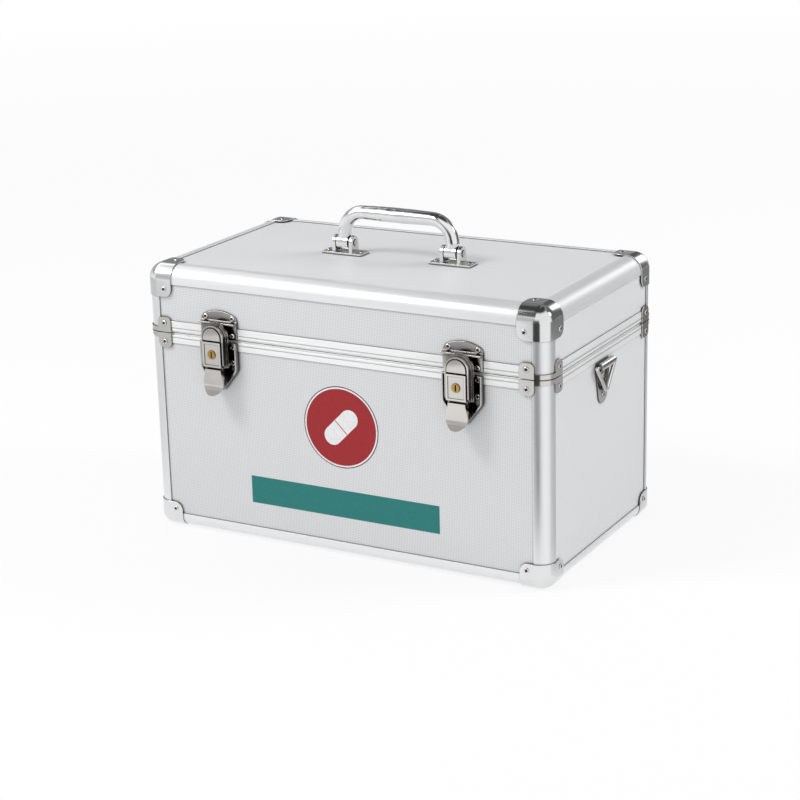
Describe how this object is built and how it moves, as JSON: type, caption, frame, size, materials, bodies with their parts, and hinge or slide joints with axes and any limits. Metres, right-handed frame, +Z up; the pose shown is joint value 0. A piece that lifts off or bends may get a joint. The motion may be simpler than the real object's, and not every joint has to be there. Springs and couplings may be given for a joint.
{
  "type": "medicine storage box",
  "caption": "Medicine storage box with an aluminium frame, ball corner caps, a hinged lid, a folding handle, key latches on the front and a strap ring at each end.",
  "frame": {"origin": "bottom centre of the whole box's bounding box, on the surface that it stands on", "axes": "+X along the case, to the viewer's right as seen from the front; the front with the latches looks to -Y; +Z up"},
  "size_m": [0.3648, 0.221, 0.259],
  "materials": {
    "board": "light grey faced board with a fine embossed pattern",
    "profile": "satin silver anodised",
    "foam": "dark grey foam",
    "rivet": "bright nickel",
    "steel_pin": "plain steel",
    "lock_brass": "polished",
    "bright_chrome": "mirror plated",
    "cap_chrome": "mirror plated",
    "nickel_plate": "bright nickel plated pressing"
  },
  "bodies": {
    "case": {"front_panel": "board", "back_panel": "board", "left_panel": "board", "right_panel": "board", "bottom_panel": "board", "body_posts": "profile", "bottom_rails": "profile", "body_rim": "profile", "bottom_caps": "cap_chrome", "body_braces": "nickel_plate", "body_lining": "foam", "body_rivets": "rivet", "hinge_lower_leaves": "nickel_plate", "hinge_pins": "steel_pin", "left_latch_base": "nickel_plate", "right_latch_base": "nickel_plate", "left_lever_pin": "steel_pin", "right_lever_pin": "steel_pin", "left_ring_plate": "nickel_plate", "right_ring_plate": "nickel_plate"},
    "lid": {"lid_front_panel": "board", "lid_back_panel": "board", "lid_left_panel": "board", "lid_right_panel": "board", "top_panel": "board", "lid_posts": "profile", "top_rails": "profile", "lid_rim": "profile", "top_caps": "cap_chrome", "lid_braces": "nickel_plate", "lid_lining": "foam", "lid_rivets": "rivet", "hinge_upper_leaves": "nickel_plate", "left_strike": "nickel_plate", "right_strike": "nickel_plate", "handle_brackets": "nickel_plate", "handle_pins": "steel_pin"},
    "handle": {"handle": "bright_chrome"},
    "left_lever": {"left_lever": "nickel_plate", "left_bail_pin": "steel_pin"},
    "right_lever": {"right_lever": "nickel_plate", "right_bail_pin": "steel_pin"},
    "left_bail": {"left_bail": "nickel_plate"},
    "right_bail": {"right_bail": "nickel_plate"},
    "left_lock_plug": {"left_lock_plug": "lock_brass"},
    "right_lock_plug": {"right_lock_plug": "lock_brass"},
    "left_ring": {"left_ring": "bright_chrome"},
    "right_ring": {"right_ring": "bright_chrome"}
  },
  "joints": [
    {"name": "lid_hinge", "type": "hinge", "parent": "case", "child": "lid", "pos_m": [0, 0.10768, 0.165], "axis": [-1, 0, 0], "range_deg": [0, 100]},
    {"name": "handle_hinge", "type": "hinge", "parent": "lid", "child": "handle", "pos_m": [0, 0.00492, 0.2274], "axis": [1, 0, 0], "range_deg": [-90, 90]},
    {"name": "left_lever_hinge", "type": "hinge", "parent": "case", "child": "left_lever", "pos_m": [-0.1075, -0.10118, 0.162], "axis": [-1, 0, 0], "range_deg": [0, 110]},
    {"name": "left_bail_hinge", "type": "hinge", "parent": "left_lever", "child": "left_bail", "pos_m": [-0.1075, -0.10018, 0.147], "axis": [1, 0, 0], "range_deg": [0, 121]},
    {"name": "left_lock_turn", "type": "hinge", "parent": "left_lever", "child": "left_lock_plug", "pos_m": [-0.1075, -0.10698, 0.1553], "axis": [0, -1, 0], "range_deg": [0, 90]},
    {"name": "left_ring_swing", "type": "hinge", "parent": "case", "child": "left_ring", "pos_m": [-0.1792, 0.00492, 0.1525], "axis": [0, 1, 0], "range_deg": [0, 170]},
    {"name": "right_lever_hinge", "type": "hinge", "parent": "case", "child": "right_lever", "pos_m": [0.1075, -0.10118, 0.162], "axis": [-1, 0, 0], "range_deg": [0, 110]},
    {"name": "right_bail_hinge", "type": "hinge", "parent": "right_lever", "child": "right_bail", "pos_m": [0.1075, -0.10018, 0.147], "axis": [1, 0, 0], "range_deg": [0, 121]},
    {"name": "right_lock_turn", "type": "hinge", "parent": "right_lever", "child": "right_lock_plug", "pos_m": [0.1075, -0.10698, 0.1553], "axis": [0, -1, 0], "range_deg": [0, 90]},
    {"name": "right_ring_swing", "type": "hinge", "parent": "case", "child": "right_ring", "pos_m": [0.1792, 0.00492, 0.1525], "axis": [0, -1, 0], "range_deg": [0, 170]}
  ],
  "couplings": [
    {"joint": "left_bail_hinge", "follows": "left_lever_hinge", "ratio": 1.1},
    {"joint": "right_bail_hinge", "follows": "right_lever_hinge", "ratio": 1.1}
  ]
}
